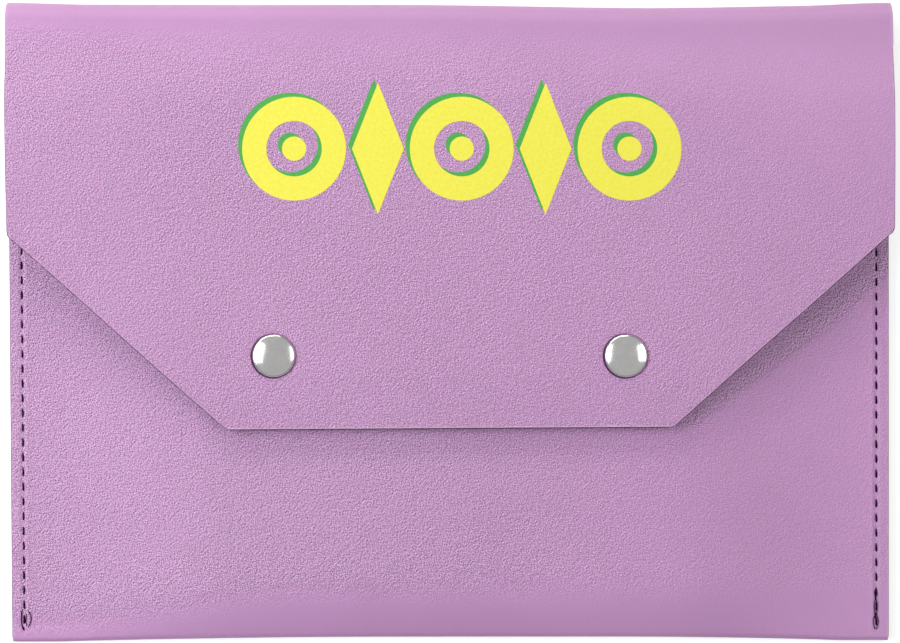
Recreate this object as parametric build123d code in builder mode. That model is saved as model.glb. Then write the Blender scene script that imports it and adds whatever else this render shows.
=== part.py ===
from build123d import *
import os

# A leather envelope pouch that holds a folded score card, lying on its back.
# X runs across it, +Y towards the top fold, +Z out of the front.
# The origin is the middle of its outline, on the surface that it lies on.
# All sizes are in millimetres.

# Leather
pouch_width = 205.5
closed_height = 149.3  # bottom fold to top fold, at the corners
leather = 1.2
layer_gap = 0.1  # between the two layers in a side seam
pocket_gap = 5.0  # room for the card under the middle of the front panel
fold_gap = 2.2  # room inside the bottom fold, mid-width
fold_rise = 16.0  # from the bottom fold up to the full pocket gap
fold_tilt = 19.0  # degrees; how steeply the front leaves the bottom fold, mid-width
fold_land = 1.5  # flat strip between the bottom fold and the back panel
bottom_draw = 1.3  # how far the bottom fold draws in, mid-width
top_draw = 0.8  # how far the top fold draws in, mid-width
mouth_drop = 21.15  # pocket mouth below the top fold
side_land = 7.0  # flat strip along each side, where the seam runs
crown_run = 45.0  # from that strip to where the front panel is level

# Flap
flap_drop = 99.15  # top fold to the flap's end
flap_side = 53.65  # length of the straight sides, from the top fold
flap_end_width = 102.0
flap_side_round = 2.5
flap_end_round = 4.0
fold_top = 8.6  # the flap's height at the top fold, where the pouch under it is thin
fold_lead = 3.0  # straight leather between the top fold's roll and the flap
fold_run = 16.0  # from there to where the flap is level
snap_land = 6.0  # the flap is level this far below the fasteners, too
end_sag = 1.6  # how far its end hangs below that

# Side seams
seam_margin = 3.0  # cut edge to the line of stitches
seam_start = 3.15  # bottom fold to the first stitch
stitch_pitch = 3.45
stitch_length = 2.3
thread_width = 0.55
thread_height = 0.45
channel_clearance = 0.1  # each side of the thread
front_channel = 0.2
back_channel = 0.5

# Press fasteners
snap_spacing = 81.4
snap_from_end = 16.9  # above the flap's end
plate_dent = 0.25  # how deep each plate presses into the leather
metal = 0.3
barrel_clearance = 0.1  # round a barrel in its hole and a plate in its dent
cap_radius = 5.0
cap_height = 1.9
cap_curl = 3.7  # inner radius of the cover's rolled-in edge
dome_radius = 4.6
dome_drop = 1.0
edge_round = 0.25
rivet_radius = 4.0
rivet_barrel = 1.6
rivet_curl = 2.2
socket_radius = 4.6
housing_radius = 3.2
housing_round = 0.4
stud_radius = 4.0
stud_height = 1.95
neck_radius = 1.6
neck_height = 1.35
bead_radius = 1.95
bead_height = 1.6
bead_round = 0.2
bead_clearance = 0.15  # between the stud's bead and the socket's lip
face_gap = 0.2  # between the socket's lip and the stud's base
head_room = 0.15  # between the stud's top and the rivet's curl
ring_wire = 0.3  # radius of the wire
ring_clearance = 0.05  # to the stud's neck, and to the lip that the ring rests on
ring_split = 24.0  # degrees
eyelet_radius = 3.4
eyelet_wall = 0.25
flare = 0.25  # how far the eyelet's end and the stud's mouth open out

# Places across and along the pouch
half_width = pouch_width / 2
seam_x = half_width - seam_margin
land_x = half_width - side_land
level_x = land_x - crown_run
bottom_y = -closed_height / 2
top_y = closed_height / 2
mouth_y = top_y - mouth_drop
flap_end_y = top_y - flap_drop
flap_corner_y = top_y - flap_side
snap_y = flap_end_y + snap_from_end
back_start_y = bottom_y + bottom_draw + fold_gap / 2 + leather + fold_land
stitch_count = int((mouth_y - bottom_y - 2 * seam_start) / stitch_pitch)
seam_y = bottom_y + seam_start + stitch_count * stitch_pitch / 2

# Levels above the surface
seam_top = layer_gap + 2 * leather
panel_top = pocket_gap + 2 * leather
snap_stack = stud_height + head_room + 2 * metal
flap_bottom = panel_top + snap_stack - 2 * plate_dent
flap_top = flap_bottom + leather
flap_start_y = top_y - top_draw - fold_top / 2 - fold_lead
flap_level_y = flap_start_y - fold_run
flap_sag_y = snap_y - snap_land
cap_seat = flap_top - plate_dent
socket_seat = flap_bottom + plate_dent
stud_seat = panel_top - plate_dent
eyelet_seat = panel_top - leather + plate_dent
dented = leather - 2 * plate_dent  # leather left between two plates

# How the fasteners' pieces fit each other
dome_edge = cap_height - dome_drop - metal
socket_height = snap_stack - metal - face_gap
lip_radius = bead_radius + bead_clearance
ring_radius = neck_radius + ring_clearance + ring_wire
ring_height = metal + ring_clearance + ring_wire
stud_bore = neck_radius - metal
eyelet_barrel = stud_bore - barrel_clearance

sides = {"left": -1, "right": 1}


def write(sub_part, name):
    sub_part.part.label = name
    export_step(sub_part.part, f"parts/{name}.step")


def ease(share):
    """A smooth step from 0 to 1, level at both ends."""
    return share * share * (3 - 2 * share)


def rise(start_y, start_z, end_y, end_z):
    """A curve that leaves and arrives level."""
    reach = (end_y - start_y) / 2
    Bezier((start_y, start_z), (start_y + reach, start_z), (end_y - reach, end_z), (end_y, end_z))


def swell(start, end_y, end_z):
    """A curve that bulges from its start and arrives level."""
    Bezier(start, ((start.X + end_y) / 2, end_z), (end_y, end_z))


def front_section(crown):
    """The front panel and bottom fold, cut across; crown is 0 at a seam and 1 mid-width."""
    room = layer_gap + crown * (pocket_gap - layer_gap)
    inner = (layer_gap + crown * (fold_gap - layer_gap)) / 2
    outer = inner + leather
    roll_y = bottom_y + crown * bottom_draw + outer
    level_y = roll_y + fold_rise
    under = room + leather
    over = under + leather
    turn = 180 - crown * fold_tilt
    Line((back_start_y, leather), (back_start_y, 0))
    Line((back_start_y, 0), (roll_y, 0))
    skin = CenterArc((roll_y, outer), outer, 270, -turn)
    swell(skin @ 1, level_y, over)
    Line((level_y, over), (mouth_y, over))
    Line((mouth_y, over), (mouth_y, under))
    Line((mouth_y, under), (level_y, under))
    lining = CenterArc((roll_y, outer), inner, 270, -turn)
    swell(lining @ 1, level_y, under)
    Line((roll_y, leather), (back_start_y, leather))


def top_section(crown):
    """The top fold, cut across, from the back panel's edge round to the flap's."""
    outer = fold_top / 2
    inner = outer - leather
    under = fold_top - leather
    roll_y = top_y - crown * top_draw - outer
    Line((flap_start_y, leather), (flap_start_y, 0))
    Line((flap_start_y, 0), (roll_y, 0))
    ThreePointArc((roll_y, 0), (roll_y + outer, outer), (roll_y, fold_top))
    Line((roll_y, fold_top), (flap_start_y, fold_top))
    Line((flap_start_y, fold_top), (flap_start_y, under))
    Line((flap_start_y, under), (roll_y, under))
    ThreePointArc((roll_y, under), (roll_y + inner, outer), (roll_y, leather))
    Line((roll_y, leather), (flap_start_y, leather))


def flap_section():
    """The flap, cut across, from its end up to the top fold."""
    for level in (flap_bottom, flap_top):
        start_z = level - flap_top + fold_top
        rise(flap_end_y, level - end_sag, flap_sag_y, level)
        Line((flap_sag_y, level), (flap_level_y, level))
        rise(flap_level_y, level, flap_start_y, start_z)
    Line((flap_end_y, flap_bottom - end_sag), (flap_end_y, flap_top - end_sag))
    Line((flap_start_y, fold_top - leather), (flap_start_y, fold_top))


def folded_leather(section, steps=5):
    """Leather of that section: level mid-width, and easing down to a strip at each side."""
    with BuildPart() as sheet:
        with BuildSketch(Plane.YZ):
            with BuildLine():
                section(1)
            make_face()
        extrude(amount=level_x, both=True)
        for side in sides.values():
            for step in range(steps):
                share = step / (steps - 1)
                with BuildSketch(Plane.YZ.offset(side * (land_x - share * crown_run))):
                    with BuildLine():
                        section(ease(share))
                    make_face()
            loft()
            with BuildSketch(Plane.YZ.offset(side * land_x)):
                with BuildLine():
                    section(0)
                make_face()
            extrude(amount=side * side_land)
    return sheet


def cut_channels(surface_z, depth):
    """The two shallow channels in a leather face that the seams' threads lie in."""
    length = (stitch_count + 1) * stitch_pitch
    with Locations((0, seam_y, surface_z)):
        with GridLocations(2 * seam_x, 0, 2, 1):
            Box(thread_width + 2 * channel_clearance, length, 2 * depth, mode=Mode.SUBTRACT)


def cut_fastener_seats(hole, dents):
    """At both fasteners, a hole for a barrel and the dents that plates press in the leather.

    Each is a height and a radius."""
    for (height, radius), depth in [(hole, leather)] + [(dent, plate_dent) for dent in dents]:
        with Locations((0, snap_y, height)):
            with GridLocations(snap_spacing, 0, 2, 1):
                Cylinder(radius + barrel_clearance, 2 * depth, mode=Mode.SUBTRACT)


def upright(x, height, turn=0):
    """An upright plane through a fastener, its own X turned from +X, its own Y up the axis."""
    outward = Vector(1, 0, 0).rotate(Axis.Z, turn)
    return Plane(origin=(x, snap_y, height), x_dir=outward, z_dir=outward.rotate(Axis.Z, -90))


os.makedirs("parts", exist_ok=True)

# The leather strip, in four pieces where it bends
with BuildPart() as back_panel:
    with BuildSketch():
        with Locations((0, (back_start_y + flap_start_y) / 2)):
            Rectangle(pouch_width, flap_start_y - back_start_y)
    extrude(amount=leather)
    cut_channels(0, back_channel)
write(back_panel, "back_panel")

folded_front = folded_leather(front_section)
with BuildPart() as front_panel:
    add(folded_front.part)
    cut_channels(0, back_channel)
    cut_channels(seam_top, front_channel)
    cut_fastener_seats(
        (panel_top - leather / 2, eyelet_barrel),
        [(panel_top, stud_radius), (panel_top - leather, eyelet_radius)],
    )
write(front_panel, "front_panel")

top_fold = folded_leather(top_section)
write(top_fold, "top_fold")

with BuildPart() as flap:
    with BuildSketch(Plane.YZ):
        with BuildLine():
            flap_section()
        make_face()
    extrude(amount=half_width, both=True)
    with BuildSketch():
        with BuildLine():
            Polyline(
                (-half_width, flap_start_y),
                (-half_width, flap_corner_y),
                (-flap_end_width / 2, flap_end_y),
                (flap_end_width / 2, flap_end_y),
                (half_width, flap_corner_y),
                (half_width, flap_start_y),
                close=True,
            )
        outline = make_face()
        end_corners, side_corners, _ = outline.vertices().group_by(Axis.Y)
        fillet(end_corners, flap_end_round)
        fillet(side_corners, flap_side_round)
    extrude(amount=flap_top, mode=Mode.INTERSECT)
    cut_fastener_seats(
        (flap_top - leather / 2, rivet_barrel),
        [(flap_top, cap_radius), (flap_bottom, socket_radius)],
    )
write(flap, "flap")

# One stitch: a dash of thread that dips into the leather at both ends
with BuildPart() as stitch:
    with BuildSketch(Plane.YZ):
        with BuildLine():
            Line((-stitch_length / 2, 0), (stitch_length / 2, 0))
            ThreePointArc((stitch_length / 2, 0), (0, thread_height), (-stitch_length / 2, 0))
        make_face()
    extrude(amount=thread_width / 2, both=True)

for side, sign in sides.items():
    with BuildPart() as needle_thread:
        with Locations((sign * seam_x, seam_y, seam_top - front_channel)):
            with GridLocations(0, stitch_pitch, 1, stitch_count):
                add(stitch.part)
    write(needle_thread, f"{side}_needle_thread")

    with BuildPart() as bobbin_thread:
        with Locations((sign * seam_x, seam_y, back_channel)):
            with GridLocations(0, stitch_pitch, 1, stitch_count):
                add(stitch.part, rotation=(0, 180, 0))
    write(bobbin_thread, f"{side}_bobbin_thread")

# The two press fasteners. Each profile is drawn in radius and height above the piece's seat.
for side, sign in sides.items():
    snap_x = sign * snap_spacing / 2
    snap_axis = Axis((snap_x, snap_y, 0), (0, 0, 1))

    # The domed cover, its edge rolled in under the rivet's plate
    with BuildPart() as cap:
        with BuildSketch(upright(snap_x, cap_seat)):
            with BuildLine():
                dome = TangentArc((0, cap_height), (dome_radius, cap_height - dome_drop), tangent=(1, 0))
                edge = TangentArc(dome @ 1, (cap_radius, edge_round), tangent=dome % 1)
                roll = TangentArc(edge @ 1, (cap_radius - edge_round, 0), tangent=edge % 1)
                Polyline(roll @ 1, (cap_curl, 0), (cap_curl, metal), (dome_radius, metal))
                wall = Line((dome_radius, metal), (dome_radius, dome_edge))
                lining = TangentArc((0, cap_height - metal), wall @ 1, tangent=(1, 0))
                Line(lining @ 0, dome @ 0)
            make_face()
        revolve(axis=snap_axis)
    write(cap, f"{side}_snap_cap")

    # The rivet: a plate inside the cover, and a barrel through the flap, curled over the socket
    with BuildPart() as rivet:
        with BuildSketch(upright(snap_x, cap_seat)):
            with BuildLine():
                Polyline(
                    (rivet_barrel - metal, metal),
                    (0, metal),
                    (0, 2 * metal),
                    (rivet_radius, 2 * metal),
                    (rivet_radius, metal),
                    (rivet_barrel, metal),
                    (rivet_barrel, -dented - metal),
                    (rivet_curl, -dented - metal),
                )
                TangentArc(
                    (rivet_curl, -dented - metal),
                    (rivet_curl - metal, -dented - 2 * metal),
                    tangent=(0, -1),
                )
                Polyline(
                    (rivet_curl - metal, -dented - 2 * metal),
                    (rivet_barrel - metal, -dented - 2 * metal),
                    (rivet_barrel - metal, metal),
                )
            make_face()
        revolve(axis=snap_axis)
    write(rivet, f"{side}_snap_rivet")

    # The socket: a plate against the flap, and a housing with a turned-in lip
    with BuildPart() as socket:
        with BuildSketch(upright(snap_x, socket_seat)):
            with BuildLine():
                Polyline(
                    (lip_radius, -socket_height),
                    (lip_radius, metal - socket_height),
                    (housing_radius - metal, metal - socket_height),
                    (housing_radius - metal, -metal),
                    (rivet_barrel + barrel_clearance, -metal),
                    (rivet_barrel + barrel_clearance, 0),
                    (socket_radius, 0),
                    (socket_radius, -metal),
                    (housing_radius, -metal),
                    (housing_radius, housing_round - socket_height),
                )
                TangentArc(
                    (housing_radius, housing_round - socket_height),
                    (housing_radius - housing_round, -socket_height),
                    tangent=(0, -1),
                )
                Line((housing_radius - housing_round, -socket_height), (lip_radius, -socket_height))
            make_face()
        revolve(axis=snap_axis)
    write(socket, f"{side}_snap_socket")

    # The ring that the stud springs open, its split towards the top fold
    with BuildPart() as ring:
        with BuildSketch(upright(snap_x, socket_seat, turn=90 + ring_split / 2)):
            with Locations((ring_radius, ring_height - socket_height)):
                RegularPolygon(ring_wire, 8)
        revolve(axis=snap_axis, revolution_arc=360 - ring_split)
    write(ring, f"{side}_snap_ring")

    # The stud: a base on the front panel, a neck and a bead
    with BuildPart() as stud:
        with BuildSketch(upright(snap_x, stud_seat)):
            with BuildLine():
                Polyline(
                    (stud_bore + flare, stud_height),
                    (stud_bore, stud_height - flare),
                    (stud_bore, 0),
                    (stud_radius, 0),
                    (stud_radius, metal),
                    (neck_radius, metal),
                    (neck_radius, neck_height),
                    (bead_radius, bead_height),
                    (bead_radius, stud_height - bead_round),
                )
                TangentArc(
                    (bead_radius, stud_height - bead_round),
                    (bead_radius - bead_round, stud_height),
                    tangent=(0, 1),
                )
                Line((bead_radius - bead_round, stud_height), (stud_bore + flare, stud_height))
            make_face()
        revolve(axis=snap_axis)
    write(stud, f"{side}_snap_stud")

    # The eyelet: a plate inside the pocket, and a barrel flared in the stud's mouth
    with BuildPart() as eyelet:
        with BuildSketch(upright(snap_x, eyelet_seat)):
            with BuildLine():
                Polyline(
                    (eyelet_barrel - eyelet_wall, -metal),
                    (eyelet_radius, -metal),
                    (eyelet_radius, 0),
                    (eyelet_barrel, 0),
                    (eyelet_barrel, dented + stud_height - flare),
                    (eyelet_barrel + flare, dented + stud_height),
                    (eyelet_barrel + flare - eyelet_wall, dented + stud_height),
                    (eyelet_barrel - eyelet_wall, dented + stud_height - flare),
                    close=True,
                )
            make_face()
        revolve(axis=snap_axis)
    write(eyelet, f"{side}_snap_eyelet")
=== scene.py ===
import math

import bpy
import numpy as np
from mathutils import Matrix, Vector


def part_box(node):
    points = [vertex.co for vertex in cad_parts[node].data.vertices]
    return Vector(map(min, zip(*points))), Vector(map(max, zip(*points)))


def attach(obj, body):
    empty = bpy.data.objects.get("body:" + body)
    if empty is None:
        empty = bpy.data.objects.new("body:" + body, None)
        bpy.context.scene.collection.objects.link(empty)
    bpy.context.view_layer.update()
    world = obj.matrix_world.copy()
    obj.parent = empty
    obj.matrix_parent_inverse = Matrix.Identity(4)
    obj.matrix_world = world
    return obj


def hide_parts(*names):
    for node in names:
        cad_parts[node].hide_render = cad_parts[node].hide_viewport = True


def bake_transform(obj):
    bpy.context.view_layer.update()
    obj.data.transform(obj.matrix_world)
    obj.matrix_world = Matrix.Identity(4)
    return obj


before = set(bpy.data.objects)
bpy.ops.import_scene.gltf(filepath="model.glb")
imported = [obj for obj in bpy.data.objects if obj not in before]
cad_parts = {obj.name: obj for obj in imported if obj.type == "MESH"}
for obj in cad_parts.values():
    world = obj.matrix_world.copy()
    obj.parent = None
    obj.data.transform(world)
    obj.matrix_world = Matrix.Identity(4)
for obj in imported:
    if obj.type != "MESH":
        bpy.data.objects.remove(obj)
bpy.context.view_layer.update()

# A leather envelope pouch with a buttoned flap, lying on its back, seen from straight above.
# Everything is in metres. X runs across the pouch, +Y towards its top fold, +Z out of its front.

MM = 0.001

# Sizes read from the frame
front_low, front_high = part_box("front_panel")
back_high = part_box("back_panel")[1]
flap_low, flap_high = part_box("flap")
fold_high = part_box("top_fold")[1]
cap_low, cap_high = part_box("right_snap_cap")
half_width = front_high.x
bottom_y = front_low.y
mouth_y = front_high.y
panel_top = front_high.z
flap_end_y = flap_low.y
flap_top = flap_high.z
leather = back_high.z
top_y = fold_high.y
fold_top = fold_high.z
snap_x = (cap_low.x + cap_high.x) / 2
snap_y = (cap_low.y + cap_high.y) / 2
cap_radius = (cap_high.x - cap_low.x) / 2

# Leather, as in the solids or close to them
layer_gap = 0.1 * MM
pocket_gap = panel_top - 2 * leather
fold_gap = 2.2 * MM
fold_rise = 13.5 * MM
fold_run = 16.0 * MM  # from the top fold to where the flap is level
fold_tilt = math.radians(22)  # how steeply the front leaves the bottom fold
side_land = 7.0 * MM
crown_run = 45.0 * MM
flap_side = 53.9 * MM
flap_end_width = 103.6 * MM
flap_side_round = 2.5 * MM
flap_end_round = 4.0 * MM
seam_margin = 3.0 * MM
seam_start = 3.15 * MM
stitch_pitch = 3.45 * MM
stitch_length = 2.3 * MM
thread_radius = 0.27 * MM
seam_lift = {-1: 0.5 * MM, 1: 0.1 * MM}  # how far up each side's stitches are shifted
plate_dent = 0.25 * MM
stud_radius = 4.0 * MM
socket_radius = 4.6 * MM
eyelet_radius = 3.4 * MM

# Leather, where the real thing is softer than the solids
edge_rounding = 0.16 * MM
fold_rounding = 0.15 * MM
edge_flare = 0.22 * MM  # how far a cut edge's foot stands out past its top
edge_highlight_run = 0.25 * MM  # over which the painted highlight along a cut edge fades out
faint_edge_highlight_x = 101.0 * MM  # further out than this, the flap's edge gets only the faintest painted highlight
end_sag = 0.45 * MM
sag_run = 15.0 * MM
corner_droop = 0.9 * MM
groove_depth = 0.42 * MM
back_groove_depth = 0.45 * MM
belly = 0.35 * MM  # how far the flap's sides bow out
flap_slant = 0.0088  # how the flap leans over to the right, top to bottom
flap_turn = 0.0062  # how its end rises to the right
left_lean = 0.0079  # how the left side slants, bottom to top

# Places that follow from those
seam_x = half_width - seam_margin
land_x = half_width - side_land
stitch_count = int((mouth_y - bottom_y - 2 * seam_start) / stitch_pitch)
seam_y = bottom_y + seam_start + stitch_count * stitch_pitch / 2
flap_corner_y = top_y - flap_side
slope = (half_width - flap_end_width / 2) / (flap_corner_y - flap_end_y)  # of the flap's slants
flap_middle_z = flap_top - leather / 2
roll_radius = (fold_top - leather) / 2  # of the middle of the leather
fold_centre_y = top_y - fold_top / 2
flap_start_y = flap_high.y
flap_level_y = flap_start_y - fold_run
fold_join_y = fold_centre_y - 7.0 * MM
bottom_join_y = bottom_y + 4.0 * MM
sides = {"left": -1, "right": 1}


def ease(share):
    """A smooth step from 0 to 1, level at both ends."""
    share = np.clip(share, 0, 1)
    return share * share * (3 - 2 * share)


def bump_at(distance, width):
    """A smooth bump, 1 at no distance."""
    return np.exp(-(distance / width) ** 2)


def crown(x):
    """0 on the flat strip along each side, 1 where the front panel is level."""
    return ease((land_x - abs(x)) / crown_run)


def arch(share):
    """A curve from 0 to 1 that leaves steeply and arrives level."""
    share = np.clip(share, 0, 1)
    return share * (2 - share)


def top_draw(x):
    """How far the top fold draws in: more to the right of the middle than to the left."""
    pull = 0.42 + 0.1 * bump_at(x + 45 * MM, 25 * MM) + 0.8 * bump_at(x - 46 * MM, 36 * MM)
    return ease((half_width - abs(x)) / (20 * MM)) * pull * MM


def bottom_draw(x):
    """How far the bottom fold draws in: over a longer run on the left than on the right."""
    left = 1.26 * arch((x + 92 * MM) / (82 * MM))
    right = 0.35 + 0.93 * arch((91 * MM - x) / (52 * MM))
    return np.where(x < 0, left, right) * MM


def bow(along):
    """How far the flap's sides bow out, along being y as if the strip ran on flat over the fold."""
    return belly * bump_at(along - 48 * MM, 30 * MM)


def lean(x, y):
    """How far a point of the pouch shifts, because its left side isn't cut quite square."""
    shift = left_lean * (y + 22 * MM) + 0.13 * MM
    return -shift * ease(-x / half_width) * ease((62 * MM - y) / (40 * MM))


def skew(along):
    """How far the flap's sides shift to the right, along being y as if the strip ran on flat."""
    there = ease((along + 10 * MM) / (25 * MM)) * ease((90 * MM - along) / (12 * MM))
    return (flap_slant * (52 * MM - along) - 0.08 * MM) * there


def steps(start, *legs):
    """Numbers from start along legs, each an (end, spacing)."""
    line = [start]
    for end, spacing in legs:
        count = max(1, round(abs(end - line[-1]) / spacing))
        line += list(np.linspace(line[-1], end, count + 1)[1:])
    return np.array(line)


# The leather strip: flap, top fold, back, bottom fold and front in one sheet.
# Its rows run from the flap's end to the pocket mouth, its columns across.

rim = np.array([0, 0.08, 0.2, 0.4]) * MM


def column_lines():
    """Places across the half width, from the middle to the inner end of the rim."""
    inner = half_width - rim[-1]
    line = steps(
        0,
        (34 * MM, 2.0 * MM),
        (69 * MM, 0.7 * MM),
        (land_x, 1.5 * MM),
        (seam_x - 1.6 * MM, 0.55 * MM),
        (seam_x - 0.5 * MM, 0.28 * MM),
        (seam_x + 0.5 * MM, 0.17 * MM),
        (seam_x + 1.4 * MM, 0.28 * MM),
        (inner, 0.4 * MM),
    )
    return line / inner


def flap_half_width(y):
    """Half the flap's width at y, its corners rounded."""
    turn = math.atan2(1, slope)
    diagonal = flap_end_width / 2 + (y - flap_end_y) * slope
    full_width = half_width + bow(y)

    # The side corner's arc touches the side this far above the corner
    reach = flap_side_round * math.tan((math.pi / 2 - turn) / 2)
    centre_x, centre_y = half_width + bow(flap_corner_y) - flap_side_round, flap_corner_y + reach
    low = centre_y - flap_side_round * math.cos(turn)
    drop = np.clip(centre_y - y, 0, flap_side_round)
    arc = centre_x + np.sqrt(np.maximum(flap_side_round**2 - drop**2, 0))
    width = np.where(y > centre_y, full_width, np.where(y > low, arc, diagonal))

    # The end corner's arc touches the end this far inside the corner
    reach = flap_end_round * math.tan(turn / 2)
    centre_x, centre_y = flap_end_width / 2 - reach, flap_end_y + flap_end_round
    high = centre_y - flap_end_round * math.cos(turn)
    drop = np.clip(centre_y - y, 0, flap_end_round)
    arc = centre_x + np.sqrt(np.maximum(flap_end_round**2 - drop**2, 0))
    return np.where(y < high, arc, width)


def flap_height(x, y):
    """The middle of the flap's leather. It rises from the top fold, and sags at its end and corners."""
    rise = ease((y - flap_level_y) / fold_run)
    end = ease((snap_y - 4 * MM - y) / sag_run)
    side = ease((abs(x) - 62 * MM) / (38 * MM)) * ease((50 * MM - y) / (45 * MM))
    return flap_middle_z - (flap_top - fold_top) * rise - end_sag * end - corner_droop * side


def bottom_roll(x):
    """The bottom fold's inner and outer radius, the place of its centre and the front's tilt there."""
    inner = (layer_gap + crown(x) * (fold_gap - layer_gap)) / 2
    outer = inner + leather
    return inner, outer, bottom_y + bottom_draw(x) + outer, crown(x) * fold_tilt


def front_height(x, y):
    """The middle of the front panel's leather."""
    inner, outer, roll_y, tilt = bottom_roll(x)
    reach = (inner + outer) / 2
    start_y, low = roll_y - reach * np.sin(tilt), outer + reach * np.cos(tilt)
    high = layer_gap + crown(x) * (pocket_gap - layer_gap) + 1.5 * leather
    return low + (high - low) * arch((y - start_y) / (roll_y + fold_rise - start_y))


def stitch_rows(*ends):
    """Rows at four to a stitch, between two places along the seam."""
    quarter = stitch_pitch / 4
    low, high = sorted(ends)
    first = math.ceil((low - seam_y) / quarter + 0.3)
    last = math.floor((high - seam_y) / quarter - 0.3)
    rows = [low] + [seam_y + n * quarter for n in range(first, last + 1)] + [high]
    return np.array(rows if ends[0] < ends[1] else rows[::-1])


def strip():
    """The strip's mid-surface, by rows: the stretch's name, x, y, z and the distance to a cut edge."""
    share = column_lines()
    inner = np.concatenate([-share[:0:-1], share])
    columns = len(inner) + 2 * (len(rim) - 1)

    def across(width, tilt=1.0):
        """Columns over rows of those half widths; tilt widens the rim on a slanted edge."""
        width, tilt = np.broadcast_arrays(np.atleast_1d(width), tilt)
        within = (width - rim[-1] * tilt)[:, None] * inner
        edge = width[:, None] - rim[:-1] * tilt[:, None]
        return np.hstack([-edge, within, edge[:, ::-1]])

    stretches = []

    def add(name, x, y, z, end=1.0):
        shape = (len(x), columns)
        stretches.append((name, *(np.broadcast_to(part, shape) for part in (x, y, z, end))))

    # The flap, from its end up to the top fold
    y = np.concatenate(
        [
            flap_end_y + rim,
            steps(
                flap_end_y + 0.7 * MM,
                (-14 * MM, 1.0 * MM),
                (-1 * MM, 0.55 * MM),
                (18.5 * MM, 1.5 * MM),
                (24 * MM, 0.35 * MM),
                (fold_join_y, 2.0 * MM),
            ),
        ]
    )
    tilt = np.where(y < flap_corner_y, math.hypot(1, slope), 1)
    x = across(flap_half_width(y), tilt)
    y = y[:, None]
    turned_y = y + (flap_turn * x - 0.06 * MM) * ease((60 * MM - y) / (30 * MM))
    add("flap", x + skew(y), turned_y, flap_height(x, y), y - flap_end_y)

    # The top fold: a short run, the roll, and the run on to the back panel
    run = np.array([0.2, 0.4, 0.6, 0.8])
    run_y = fold_join_y + run * (fold_centre_y - fold_join_y)
    x = across(half_width + bow(run_y))
    z = flap_height(x, run_y[:, None])
    add("fold", x + skew(run_y[:, None]), run_y[:, None] - top_draw(x) * run[:, None], z)
    turn = np.concatenate([steps(0, (math.pi / 2, 0.12)), [math.pi / 2 + 0.015]])
    turn = np.unique(np.concatenate([turn, math.pi - turn]))
    x = across(half_width + bow(fold_centre_y + roll_radius * turn))
    turn = turn[:, None]
    turned_y = fold_centre_y - top_draw(x) + roll_radius * np.sin(turn)
    turned_z = fold_top / 2 + roll_radius * np.cos(turn)
    add("fold", x + skew(fold_centre_y + roll_radius * turn), turned_y, turned_z)
    past = fold_centre_y + roll_radius * math.pi
    run = run[::-1]
    x = across(half_width + bow(past + (1 - run) * (fold_centre_y - fold_join_y)))
    run_y = fold_join_y + run[:, None] * (fold_centre_y - top_draw(x) - fold_join_y)
    add("fold", x, run_y, leather / 2)
    past += fold_centre_y - fold_join_y

    # The back panel, down to the bottom fold
    y = np.concatenate([[fold_join_y], stitch_rows(mouth_y, bottom_join_y)])
    y = np.insert(y, 1, steps(fold_join_y, (mouth_y, 2.5 * MM))[1:-1])
    x = across(half_width + bow(past + fold_join_y - y))
    y = y[:, None]
    add("back", x + lean(x, y), y, leather / 2)

    # The bottom fold
    x = across(half_width)
    tight, loose, centre_y, tilt = bottom_roll(x)
    reach = (tight + loose) / 2
    turn = steps(0, (1, 0.045))[:, None] * (math.pi - tilt)
    x = np.repeat(x, len(turn), axis=0)
    y = centre_y - reach * np.sin(turn)
    add("bottom", x + lean(x, y), y, loose - reach * np.cos(turn))

    # The front panel, up to the pocket mouth
    y = stitch_rows(bottom_join_y, mouth_y - rim[-1])
    y = np.concatenate([y, mouth_y - rim[-2::-1]])
    x = across(np.full(len(y), half_width))
    y = y[:, None]
    add("front", x + lean(x, y), y, front_height(x, y), mouth_y - y)

    names = np.concatenate([[s[0]] * len(s[1]) for s in stretches])
    return names, *(np.vstack([s[n] for s in stretches]) for n in range(1, 5))


def seam_relief(x, y, groove, ridge):
    """How a side seam pulls the leather in: a slot under each stitch, with raised puckers between."""
    off = abs(x - lean(x, y)) - seam_x
    reach = (stitch_count + 1) * stitch_pitch / 2
    there = ease((reach - abs(y - seam_y)) / (0.6 * MM))
    lift = np.where(x < 0, seam_lift[-1], seam_lift[1])
    along = (y - seam_y - lift) / stitch_pitch + (stitch_count - 1) / 2
    under = 0.5 + 0.5 * np.cos(2 * math.pi * along)
    slot = groove * bump_at(off, 0.52 * MM) * (0.25 + 0.75 * under)
    pucker = ridge * (bump_at(off, 0.5 * MM) * (1 - under) * 0.6 + bump_at(off - 0.95 * MM, 0.4 * MM) * 0.5)
    pucker = pucker + ridge * bump_at(off + 1.05 * MM, 0.4 * MM) * (0.75 + 0.25 * under)
    return there * (pucker - slot)


def dent(x, y, radius):
    """How deep a plate of that radius at either fastener presses into the leather."""
    far = np.hypot(abs(x) - snap_x, y - snap_y)
    return plate_dent * (1 - ease((far - radius - 0.1 * MM) / (1.1 * MM)))


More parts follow.
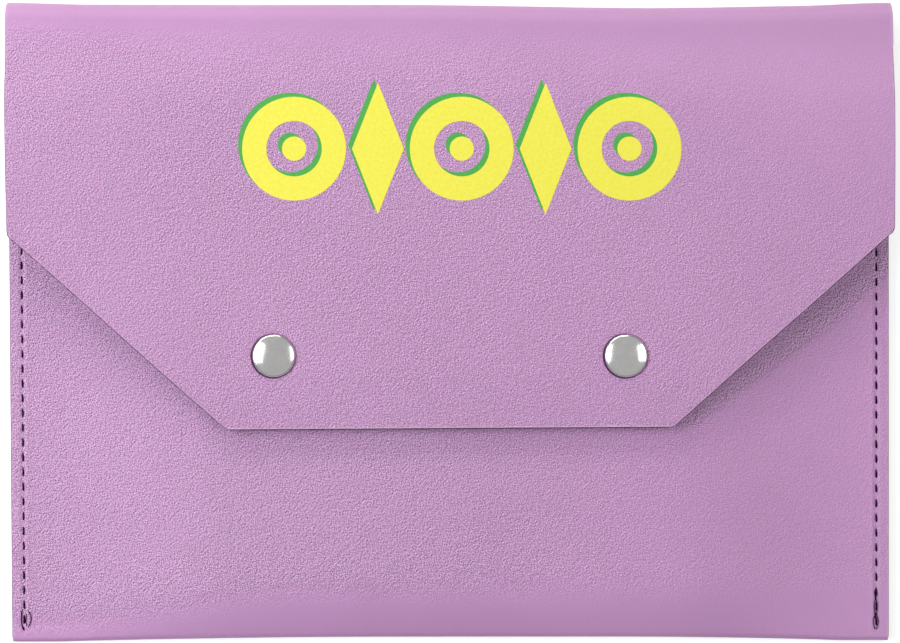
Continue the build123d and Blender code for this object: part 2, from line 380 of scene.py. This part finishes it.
def grain_depth(kind, x, y, along):
    """How deep the grain is: flat over the folds, shallower to the right, and deepest in a band along the
    slants, where its stronger colour contrast is painted light and shade for the grain in the flap's
    shadow.
    """
    right = np.maximum(x, 0) / (96 * MM)
    run = (2 + 4 * ease((x + 100 * MM) / (50 * MM)) + 34 * right**2) * MM
    flap = 1.1 - 0.25 * ease((x + 60 * MM) / (110 * MM))
    flap = flap * (1 - np.exp(-np.maximum(69.5 * MM - along, 0) / run))
    fade_y = (-62.7 - 7.5 * ease((-x - 35 * MM) / (55 * MM))) * MM
    front = (1.4 - 1.0 * ease((x + 35 * MM) / (125 * MM))) * (1 - ease(0.5 + (fade_y - y) / (10 * MM)))

    # Along each slant, in the flap's shadow, the grain runs deeper. Its relief is capped in grain_height,
    # so most of the extra is a painted contrast of light and shade in the grain's colour. The band is wider
    # at the sides and fades out under the flap.
    below = flap_corner_y - y - (half_width - abs(x)) / slope
    reach = (1.2 + 5.5 * ease((abs(x) - 50 * MM) / (48 * MM))) * MM
    off = np.maximum((below - reach) / (2.2 * MM), (-1.5 * MM - below) / (10 * MM))
    band = bump_at(np.maximum(off, 0), 1) * ease((y - flap_end_y + 0.8 * MM) / (1.6 * MM))
    front = front + (2.2 - front) * band
    back = 1 - ease((abs(y) - 60 * MM) / (7 * MM))
    on_flap = (kind == "flap") | (kind == "fold") & (along < 70 * MM)
    depth = np.select([on_flap, kind == "front", kind == "back"], [flap, front, back], 0.0)
    return np.maximum(depth, 0.08)


def leather_pieces():
    """The strip cut into its four pieces, each a closed sheet."""
    names, x, y, z, end = strip()
    middle = np.stack([x, y, z], axis=2)
    along = np.gradient(middle, axis=0)
    out = np.cross(np.gradient(middle, axis=1), along)
    out /= np.linalg.norm(out, axis=2, keepdims=True)

    centre = middle[:, middle.shape[1] // 2]
    length = np.concatenate([[0], np.cumsum(np.linalg.norm(np.diff(centre, axis=0), axis=1))])

    # Distance to the nearest cut edge, square to it
    slanted = (names == "flap") & (y[:, 0] < flap_corner_y)
    square = np.where(slanted, 1 / math.hypot(1, slope), 1)[:, None]
    side = np.minimum(x - x[:, :1], x[:, -1:] - x) * square
    margin = np.minimum(side, end)
    kind = names[:, None]
    radius = np.where(kind == "fold", fold_rounding, edge_rounding)
    left = radius - np.clip(margin, 0, radius)
    rounding = radius - np.sqrt(np.maximum(radius**2 - left**2, 0))

    # The top of each cut edge lies further in than its foot
    inset = edge_flare * np.clip(1 - margin / rim[-1], 0, 1) * (kind != "fold")
    towards_end = np.where(kind == "front", -1.0, 1.0) * inset * (end < side)
    inward = np.stack([-np.sign(x) * inset / square * (side <= end), towards_end, 0 * x], axis=2)
    # A pale line along each cut edge is a painted highlight: strongest at the flap's end, half as strong on
    # its slants, faint elsewhere.
    at_end = (kind == "flap") & (end < side)
    on_slant = (kind == "flap") & (abs(x) < faint_edge_highlight_x)
    painted_edge_highlight = np.select([at_end, on_slant], [1.0, 0.5], 0.2) * np.clip(2 - margin / edge_highlight_run, 0, 1)
    outer = leather / 2 - rounding
    outer = outer + np.where(kind == "front", seam_relief(x, y, groove_depth, 0.14 * MM), 0)
    outer = outer + np.where(kind == "back", seam_relief(x, y, back_groove_depth, 0.0), 0)
    outer = outer - np.where(kind == "flap", dent(x, y, cap_radius), 0)
    outer = outer - np.where(kind == "front", dent(x, y, stud_radius), 0)
    inner = leather / 2 - rounding
    inner = inner - np.where(kind == "flap", dent(x, y, socket_radius), 0)
    inner = inner - np.where(kind == "front", dent(x, y, eyelet_radius), 0)

    fold_rows = np.flatnonzero(names == "fold")
    apex = fold_rows[np.argmin(abs(z[fold_rows, 0] - fold_top / 2))]
    cuts = {
        "flap_leather": (0, fold_rows[0] - 1),
        "fold_upper": (fold_rows[0] - 1, apex),
        "fold_lower": (apex, fold_rows[-1] + 1),
        "pouch_leather": (fold_rows[-1] + 1, len(names) - 1),
    }
    grain = np.stack([x, np.broadcast_to(length[:, None], x.shape), np.zeros_like(x)], axis=2)
    along = flap_end_y + np.broadcast_to(length[:, None], x.shape)
    depth = grain_depth(kind, x, y, along)
    # Distance to each cap, measured from a centre a little left of and below it, so that the painted shadow
    # ring around the cap comes out thicker on the left and bottom.
    off_y = y - snap_y + 0.07 * MM
    from_cap = [np.hypot(x - sign * snap_x + 0.18 * MM, off_y) for sign in (-1, 1)]
    from_cap = np.where(kind == "flap", np.minimum(*from_cap), half_width)
    made = {}
    for name, (first, last) in cuts.items():
        rows = slice(first, last + 1)
        made[name] = closed_sheet(
            name,
            middle[rows] + out[rows] * outer[rows][..., None] + inward[rows],
            middle[rows] - out[rows] * inner[rows][..., None],
            grain[rows],
            {"depth": depth[rows], "painted_edge_highlight": painted_edge_highlight[rows], "from_cap": from_cap[rows]},
            margin[rows],
        )
        made[name]["length"] = float(length[last] - length[first])
    return made


def closed_sheet(name, outer, inner, grain, shares, margin):
    """A closed sheet between two grids of points. Its faces are grained, cut edge or backing."""
    rows, columns = outer.shape[:2]
    number = np.arange(rows * columns).reshape(rows, columns)

    def quads(grid):
        return np.stack([grid[:-1, :-1], grid[:-1, 1:], grid[1:, 1:], grid[1:, :-1]], axis=2)

    front = quads(number).reshape(-1, 4)
    back = front[:, ::-1] + rows * columns
    loop = np.concatenate([number[0], number[1:, -1], number[-1, -2::-1], number[-2:0:-1, 0]])
    after = np.roll(loop, -1)
    edge = np.stack([loop, loop + rows * columns, after + rows * columns, after], axis=1)
    near = margin.reshape(-1)[front].mean(axis=1) < rim[1]
    kinds = np.concatenate([np.where(near, 1, 0), np.full(len(back), 2), np.full(len(edge), 1)])

    mesh = bpy.data.meshes.new(name)
    points = np.concatenate([outer.reshape(-1, 3), inner.reshape(-1, 3)])
    faces = np.concatenate([front, back, edge])
    mesh.from_pydata(points.tolist(), [], faces.tolist())
    mesh.polygons.foreach_set("material_index", kinds.astype(np.int32))
    mesh.polygons.foreach_set("use_smooth", np.ones(len(faces), bool))
    under = grain.reshape(-1, 3) + np.array([0, 0, leather])
    place = mesh.attributes.new("grain", "FLOAT_VECTOR", "POINT")
    place.data.foreach_set("vector", np.concatenate([grain.reshape(-1, 3), under]).ravel())
    for share, values in shares.items():
        made = mesh.attributes.new(share, "FLOAT", "POINT")
        made.data.foreach_set("value", np.tile(values.reshape(-1), 2))
    mesh.update()
    mesh.set_sharp_from_angle(angle=math.radians(40))
    piece = bpy.data.objects.new(name, mesh)
    bpy.context.collection.objects.link(piece)
    for finish in (leather_finish, edge_finish, backing_finish):
        mesh.materials.append(finish)
    return piece


# Threads

def tube(line, radius, sides=10, plies=3, twist=1.6 * MM):
    """Points and faces of a twisted thread along a line, closed at both ends.

    The radius is one number, or one for each point of the line.
    """
    line = np.array(line)
    radius = np.broadcast_to(radius, len(line))[:, None]
    ahead = np.gradient(line, axis=0)
    ahead /= np.linalg.norm(ahead, axis=1, keepdims=True)
    side = np.cross(ahead, [0, 0, 1.0])
    flat = np.linalg.norm(side, axis=1) < 0.2
    side[flat] = [1, 0, 0]
    side /= np.linalg.norm(side, axis=1, keepdims=True)
    up = np.cross(side, ahead)
    run = np.concatenate([[0], np.cumsum(np.linalg.norm(np.diff(line, axis=0), axis=1))])
    angle = np.arange(sides) * 2 * math.pi / sides
    phase = plies * (angle[None, :] - 2 * math.pi * run[:, None] / (twist * plies))
    size = radius * (0.9 + 0.1 * np.cos(phase))
    ring = side[:, None] * np.cos(angle)[None, :, None] + up[:, None] * np.sin(angle)[None, :, None]
    points = line[:, None] + ring * size[..., None]
    number = np.arange(len(line) * sides).reshape(len(line), sides)
    after = np.roll(number, -1, axis=1)
    faces = np.stack([number[:-1], after[:-1], after[1:], number[1:]], axis=2).reshape(-1, 4)
    faces = faces.tolist() + [number[0, ::-1].tolist(), number[-1].tolist()]
    return points.reshape(-1, 3), faces


def joined(name, parts, finish):
    """One object of several (points, faces)."""
    points, faces, count = [], [], 0
    for part_points, part_faces in parts:
        points += np.asarray(part_points).tolist()
        faces += [[n + count for n in face] for face in part_faces]
        count = len(points)
    mesh = bpy.data.meshes.new(name)
    mesh.from_pydata(points, [], faces)
    mesh.polygons.foreach_set("use_smooth", np.ones(len(faces), bool))
    mesh.update()
    mesh.set_sharp_from_angle(angle=math.radians(60))
    mesh.materials.append(finish)
    piece = bpy.data.objects.new(name, mesh)
    bpy.context.collection.objects.link(piece)
    return piece


def stitch(x, y, top, dive, facing):
    """One stitch, pulled tighter at its upper end, which leans left. It dives in at both ends."""
    share = np.linspace(-1, 1, 15)
    reach = stitch_length / 2 * np.sin(share * math.pi / 2)
    drop = dive * np.clip(abs(share) * 1.8 - 0.8, 0, 1) ** 2 + 0.1 * MM * ease((share + 0.2) / 1.2)
    slant = -0.14 * MM * ease((share + 0.3) / 1.3)
    line = np.stack([x + slant, y + reach, top - facing * drop], axis=1)
    taper = 0.5 * ease((share + 0.3) / 1.3) + 0.3 * ease((-share - 0.5) / 0.5)
    return tube(line, thread_radius * (1.0 - taper))


def strand(radius, *points):
    """A smooth thread through points on the front, in millimetres, its ends sunk in the leather."""
    top, sunk = 2.62, 1.8
    points = [(x, y, sunk if n in (0, len(points) - 1) else top) for n, (x, y) in enumerate(points)]
    points = np.array(points) * MM
    place = np.linspace(0, len(points) - 1, 8 * len(points))
    low = np.clip(place.astype(int), 0, len(points) - 2)
    share = (place - low)[:, None]
    before, after = points[np.maximum(low - 1, 0)], points[np.minimum(low + 2, len(points) - 1)]
    start, end = points[low], points[low + 1]
    line = (
        start
        + share * (end - before) / 2
        + share**2 * (2 * before - 5 * start + 4 * end - after) / 2
        + share**3 * (3 * start - before - 3 * end + after) / 2
    )
    return tube(line, radius * MM)


def back_tacks():
    """The doubled stitches that lock each seam at the bottom, by side."""
    left = [
        strand(0.14, (-99.75, -66.2), (-100.1, -67.6), (-100.2, -69.6), (-99.9, -71.3), (-99.6, -72.4)),
        strand(0.12, (-99.5, -66.9), (-98.5, -67.5), (-97.9, -69.0), (-98.4, -70.8), (-99.7, -72.3)),
        strand(0.1, (-99.6, -67.4), (-99.0, -68.4), (-99.2, -69.8), (-98.9, -70.6), (-99.5, -71.9)),
        strand(0.19, (-99.75, -70.9), (-99.65, -71.5), (-99.5, -72.4)),
    ]
    right = []
    for sign in (-1, 1):
        ways = (0, 0.26, 0.05, 0.34, 0.3, 0.2, 0.62, 0.28, 0)
        places = (-61.8, -63.1, -64.3, -65.7, -67.1, -68.2, -69.6, -71.2, -72.4)
        right.append(strand(0.1, *((99.55 + sign * way, y) for way, y in zip(ways, places))))
    right.append(strand(0.2, (99.6, -62.6), (99.55, -63.8), (99.6, -64.6)))
    right.append(strand(0.22, (99.5, -67.2), (99.45, -68.4), (99.55, -69.3)))
    return {"left": left, "right": right}


def threads():
    """Both seams' needle threads on the front and bobbin threads on the back."""
    needle_z = layer_gap + 2 * leather - groove_depth + thread_radius * 0.7
    bobbin_z = thread_radius + 0.05 * MM
    tacks = back_tacks()
    for side, sign in sides.items():
        for kind, z, facing in (("needle", needle_z, 1), ("bobbin", bobbin_z, -1)):
            parts = []
            for n in range(stitch_count):
                y = seam_y + seam_lift[sign] + (n - (stitch_count - 1) / 2) * stitch_pitch
                x = sign * seam_x
                parts.append(stitch(x + lean(x, y), y, z, 0.7 * MM, facing))
            if kind == "needle":
                parts += tacks[side]
            piece = joined(f"{side}_{kind}_stitches", parts, thread_finish)
            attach(piece, "pouch")
            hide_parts(f"{side}_{kind}_thread")


# The print

print_low = Vector((-48.0 * MM, 25.0 * MM))
print_high = Vector((53.5 * MM, 55.5 * MM))
print_shift = Vector((-0.93 * MM, 0.93 * MM))
ring_size = 24.0 * MM
ring_stroke = 5.6 * MM
dot_size = 5.6 * MM
lozenge_width = 12.0 * MM


def film(centre, outer, inner, thickness, around=96, through=20):
    """A printed shape on the flap, between two outlines given as radius by angle."""
    angle = np.arange(around) * 2 * math.pi / around
    share = np.linspace(0, 1, through + 1)[:, None]
    reach = inner(angle) + share * (outer(angle) - inner(angle))
    x = centre[0] + reach * np.cos(angle)
    y = centre[1] + reach * np.sin(angle)
    top = flap_height(x, y) + leather / 2 + thickness
    low = top - thickness - 0.02 * MM
    points = np.concatenate([np.stack([x, y, top], axis=2), np.stack([x, y, low], axis=2)])
    number = np.arange(2 * (through + 1) * around).reshape(2, through + 1, around)
    after = np.roll(number, -1, axis=2)
    upper = np.stack([number[0, :-1], number[0, 1:], after[0, 1:], after[0, :-1]], axis=2)
    lower = np.stack([number[1, :-1], after[1, :-1], after[1, 1:], number[1, 1:]], axis=2)
    wall = np.stack([number[0, -1], number[1, -1], after[1, -1], after[0, -1]], axis=1)
    hole = np.stack([number[0, 0], after[0, 0], after[1, 0], number[1, 0]], axis=1)
    faces = [f.reshape(-1, 4).tolist() for f in (upper, lower, wall, hole)]
    return points.reshape(-1, 3), sum(faces, [])


def round_outline(diameter):
    return lambda angle: np.full_like(angle, diameter / 2)


def lozenge_outline(width, height):
    return lambda angle: 1 / (abs(np.cos(angle)) * 2 / width + abs(np.sin(angle)) * 2 / height)


def printed_row(name, shift, thickness, finish):
    """Three ringed dots and two lozenges in a row."""
    length, height = print_high - print_low
    middle = (print_low + print_high) / 2 + shift
    step = (length - ring_size) / 4
    parts = []
    for n in range(5):
        centre = (middle.x + (n - 2) * step, middle.y)
        if n % 2:
            small = lozenge_outline(lozenge_width * 0.002, height * 0.002)
            parts.append(film(centre, lozenge_outline(lozenge_width, height), small, thickness))
            continue
        inside = round_outline(ring_size - 2 * ring_stroke)
        parts.append(film(centre, round_outline(ring_size), inside, thickness))
        parts.append(film(centre, round_outline(dot_size), round_outline(0.01 * MM), thickness))
    piece = joined(name, parts, finish)
    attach(piece, "flap")


# Finishes

class Finish:
    """A node material, built up with short calls."""

    def __init__(self, name):
        self.material = bpy.data.materials.new(name)
        self.material.use_nodes = True
        self.tree = self.material.node_tree
        self.shader = self.tree.nodes["Principled BSDF"]

    def node(self, kind, settings=None, **inputs):
        made = self.tree.nodes.new(kind)
        for name, value in (settings or {}).items():
            setattr(made, name, value)
        for name, value in inputs.items():
            self.give(made.inputs[name.replace("_", " ")], value)
        return made

    def give(self, socket, value):
        if isinstance(value, bpy.types.NodeSocket):
            self.tree.links.new(value, socket)
        else:
            socket.default_value = value

    def math(self, operation, *values):
        made = self.tree.nodes.new("ShaderNodeMath")
        made.operation = operation
        for socket, value in zip(made.inputs, values):
            self.give(socket, value)
        return made.outputs[0]

    def blend(self, share, low, high):
        """A colour between two, by share."""
        made = self.tree.nodes.new("ShaderNodeMix")
        made.data_type = "RGBA"
        self.give(made.inputs[0], share)
        self.give(made.inputs[6], low)
        self.give(made.inputs[7], high)
        return made.outputs[2]

    def span(self, value, low, high, to_low=0.0, to_high=1.0):
        """value taken from one range to another, kept inside it."""
        made = self.tree.nodes.new("ShaderNodeMapRange")
        for socket, number in zip(made.inputs, (value, low, high, to_low, to_high)):
            self.give(socket, number)
        return made.outputs[0]

    def noise(self, place, scale, detail=2.0, roughness=0.5):
        made = self.node("ShaderNodeTexNoise", Scale=scale, Detail=detail, Roughness=roughness)
        self.give(made.inputs["Vector"], place)
        return made.outputs[0]

    def place(self, name=None, stretch=(1, 1, 1)):
        """Where a point is in the piece, or its attribute of that name."""
        if name:
            start = self.node("ShaderNodeAttribute", {"attribute_name": name}).outputs["Vector"]
        else:
            start = self.node("ShaderNodeTexCoord").outputs["Object"]
        made = self.node("ShaderNodeMapping", Scale=stretch)
        self.give(made.inputs["Vector"], start)
        return made.outputs[0]

    def bump(self, height, distance, strength=1.0):
        made = self.node("ShaderNodeBump", Height=height, Distance=distance, Strength=strength)
        self.give(self.shader.inputs["Normal"], made.outputs[0])

    def set(self, **inputs):
        for name, value in inputs.items():
            self.give(self.shader.inputs[name.replace("_", " ")], value)


def shade(red, green, blue):
    """A colour from the usual 0 to 255 numbers."""
    linear = [((c / 255 + 0.055) / 1.055) ** 2.4 if c > 10 else c / 3294.6 for c in (red, green, blue)]
    return (*linear, 1.0)


def grain_height(made):
    """Leather grain, short crinkles slanting up to the right: its height for colour and for relief."""
    start = made.node("ShaderNodeAttribute", {"attribute_name": "grain"}).outputs["Vector"]
    depth = made.node("ShaderNodeAttribute", {"attribute_name": "depth"}).outputs["Fac"]
    slant = made.node("ShaderNodeMapping", {"vector_type": "TEXTURE"}, Scale=(1, 2.3, 1))
    made.give(slant.inputs["Rotation"], (0, 0, 0.8))
    made.give(slant.inputs["Vector"], start)
    crinkle = made.noise(slant.outputs[0], 6100.0, detail=1.0)
    crinkle = made.span(crinkle, 0.35, 0.67)
    broad = made.noise(start, 1500.0, detail=1.0)
    level = made.math("ADD", crinkle, made.math("MULTIPLY", broad, 0.25))
    centred = made.math("SUBTRACT", level, 0.44)
    # The relief stops deepening beyond 1.1 and the colour does not: grain deeper than that only adds
    # painted light and shade.
    relief = made.math("MULTIPLY", centred, made.math("MINIMUM", depth, 1.1))
    return made.math("ADD", 0.45, made.math("MULTIPLY", centred, depth)), relief


def leather_material():
    made = Finish("lilac_leather")
    height, relief = grain_height(made)
    place = made.place("grain")
    cloud = made.span(made.noise(place, 22.0, detail=3.0), 0.35, 0.65)
    # The grain runs dark in its hollows and pale on its peaks. This is partly the leather's own mottle and
    # partly painted shade in the hollows and painted highlight on the peaks, standing for the lighting of
    # the relief.
    low = made.blend(cloud, shade(121, 82, 123), shade(125, 85, 127))
    high = made.blend(cloud, shade(249, 194, 249), shade(253, 198, 253))
    colour = made.blend(height, low, high)
    # The highest peaks turn near white: a painted highlight.
    colour = made.blend(made.span(height, 0.78, 1.15), colour, shade(255, 212, 255))
    # The deepest troughs turn dark purple: painted shade, which darkens the grain most where it runs
    # deepest, in the flap's shadow.
    colour = made.blend(made.span(height, 0.05, -0.35), colour, shade(70, 14, 78))
    # Along the cut edges the colour turns pale: a painted highlight.
    painted_edge_highlight = made.node("ShaderNodeAttribute", {"attribute_name": "painted_edge_highlight"}).outputs["Fac"]
    colour = made.blend(made.math("MULTIPLY", painted_edge_highlight, 0.9), colour, shade(255, 222, 254))
    # A thin dark ring around each cap is a painted shadow, where the cap meets the flap.
    from_cap = made.node("ShaderNodeAttribute", {"attribute_name": "from_cap"}).outputs["Fac"]
    painted_cap_shadow = made.span(from_cap, 5.1 * MM, 5.35 * MM, 1.0, 0.0)
    made.set(
        Base_Color=made.blend(painted_cap_shadow, colour, shade(84, 52, 88)),
        Roughness=made.span(made.noise(place, 260.0), 0.3, 0.7, 0.4, 0.52),
        Specular_IOR_Level=0.15,
    )
    made.bump(relief, 0.15 * MM, 1.0)
    return made.material


def edge_material():
    """The cut edge, rough and fibrous. Its dark purple is partly the core's own colour and partly painted
    shade, for the dark shadow line under the flap's edges.
    """
    made = Finish("cut_edge")
    start = made.node("ShaderNodeAttribute", {"attribute_name": "grain"}).outputs["Vector"]
    rough = made.span(made.noise(start, 2600.0, detail=3.0), 0.3, 0.7)
    made.set(
        Base_Color=made.blend(rough, shade(84, 42, 88), shade(108, 62, 112)),
        Roughness=0.75,
        Specular_IOR_Level=0.1,
    )
    made.bump(rough, 0.05 * MM, 0.6)
    return made.material


def backing_material():
    """The strip's wrong side: a short brushed nap in a paler lilac."""
    made = Finish("brushed_backing")
    nap = made.noise(made.place("grain", stretch=(1, 0.35, 1)), 4200.0, detail=4.0, roughness=0.65)
    cloud = made.noise(made.place("grain"), 120.0, detail=3.0)
    tone = made.math("MULTIPLY", made.math("ADD", nap, cloud), 0.5)
    made.set(
        Base_Color=made.blend(made.span(tone, 0.35, 0.65), shade(176, 142, 178), shade(203, 172, 204)),
        Roughness=0.9,
        Sheen_Weight=0.25,
        Sheen_Roughness=0.5,
    )
    made.bump(nap, 0.12 * MM, 0.7)
    return made.material


def thread_material():
    made = Finish("purple_thread")
    fibre = made.noise(made.place(stretch=(1, 0.3, 1)), 9000.0, detail=3.0)
    made.set(
        Base_Color=made.blend(made.span(fibre, 0.3, 0.7), shade(28, 2, 34), shade(54, 10, 60)),
        Roughness=0.7,
        Specular_IOR_Level=0.05,
    )
    made.bump(fibre, 0.05 * MM, 0.6)
    return made.material


def print_material(name, low, high):
    """Printed ink film: smooth, with the grain showing through faintly."""
    made = Finish(name)
    place = made.place()
    rough = made.noise(place, 1400.0, detail=3.0)
    made.set(
        Base_Color=made.blend(made.span(rough, 0.3, 0.7), shade(*low), shade(*high)),
        Roughness=0.45,
    )
    made.bump(rough, 0.03 * MM, 0.7)
    return made.material


def metal_material(name, low, high, roughness):
    """Plated metal with a faint haze and fine worn marks."""
    made = Finish(name)
    place = made.place()
    haze = made.noise(place, 700.0, detail=4.0)
    made.set(
        Base_Color=made.blend(made.span(haze, 0.3, 0.7), shade(*low), shade(*high)),
        Metallic=1.0,
        Roughness=made.span(haze, 0.3, 0.7, roughness - 0.02, roughness + 0.03),
    )
    made.bump(haze, 0.004 * MM, 0.4)
    return made.material


leather_finish = leather_material()
edge_finish = edge_material()
backing_finish = backing_material()
thread_finish = thread_material()
yellow_finish = print_material("yellow_print", (240, 232, 70), (246, 240, 92))
green_finish = print_material("green_print", (70, 166, 72), (82, 178, 82))
nickel_finish = metal_material("nickel", (229, 228, 227), (235, 234, 233), 0.15)
steel_finish = metal_material("spring_steel", (150, 150, 150), (166, 166, 166), 0.25)

# Leather
leather_parts = leather_pieces()
rides = {"flap_leather": ("flap", "flap"), "pouch_leather": ("pouch", "back_panel", "front_panel")}
for name, (body, *nodes) in rides.items():
    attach(leather_parts[name], body)
    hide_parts(*nodes)
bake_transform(leather_parts["fold_lower"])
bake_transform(leather_parts["fold_upper"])
for name in ("fold_lower", "fold_upper"):
    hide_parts("top_fold")

threads()
printed_row("green_print", print_shift, 0.03 * MM, green_finish)
printed_row("yellow_print", Vector((0, 0)), 0.06 * MM, yellow_finish)

# Metal fittings, as they are in the frame
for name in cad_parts:
    finish = steel_finish if "ring" in name else nickel_finish
    if "_snap_" in name:
        node = bpy.data.objects[name]
        node.data.materials.clear()
        node.data.materials.append(finish)

# Floor, lights and camera
camera_height = 700.0 * MM
camera_at = (0.02 * MM, 0.32 * MM)
view_width = 211.2 * MM
sensor = 36.0


def floor():
    bpy.ops.mesh.primitive_plane_add(size=30, location=(0, 0, -0.05 * MM))
    plane = bpy.context.object
    plane.name = "floor"
    made = Finish("floor")
    path = made.node("ShaderNodeLightPath")
    seen = made.math("MAXIMUM", path.outputs["Is Camera Ray"], path.outputs["Is Glossy Ray"])
    seen = made.math("MAXIMUM", seen, path.outputs["Is Transmission Ray"])
    made.set(
        Base_Color=(0.86, 0.86, 0.86, 1),
        Roughness=0.9,
        Emission_Color=(1, 1, 1, 1),
        Emission_Strength=made.math("MULTIPLY", seen, 0.5),
    )
    plane.data.materials.append(made.material)


def lamp(name, place, size, power, colour=(1, 1, 1)):
    """A soft box that faces the middle of the pouch."""
    light = bpy.data.lights.new(name, "AREA")
    light.shape = "DISK" if size[0] == size[1] else "RECTANGLE"
    light.size, light.size_y = size
    light.energy = power
    light.color = colour
    made = bpy.data.objects.new(name, light)
    made.location = place
    made.rotation_euler = (Vector((0, 0, 0)) - Vector(place)).to_track_quat("-Z", "Y").to_euler()
    made.visible_camera = False
    bpy.context.collection.objects.link(made)


def lights():
    lamp("left", (-0.42, 0.06, 0.4), (0.42, 0.28), 2.1, (0.97, 0.965, 1))
    lamp("right", (0.47, 0.06, 0.47), (0.4, 0.2), 0.68, (1, 1, 0.95))
    lamp("top", (-0.22, 0.65, 0.3), (0.8, 0.16), 2.5, (0.97, 1, 0.84))
    lamp("over", (0, 0, 0.95), (2.4, 2.4), 3.05)
    world = bpy.data.worlds.new("studio")
    bpy.context.scene.world = world
    world.use_nodes = True
    sky = world.node_tree.nodes["Background"]
    sky.inputs["Color"].default_value = (1, 1, 1, 1)
    sky.inputs["Strength"].default_value = 0.27


def camera():
    data = bpy.data.cameras.new("camera")
    data.sensor_width = sensor
    data.lens = sensor * camera_height / view_width
    data.clip_start, data.clip_end = 0.01, 10
    made = bpy.data.objects.new("camera", data)
    made.location = (*camera_at, camera_height)
    bpy.context.collection.objects.link(made)
    bpy.context.scene.camera = made


floor()
lights()
camera()
bpy.context.scene.view_settings.view_transform = "Standard"
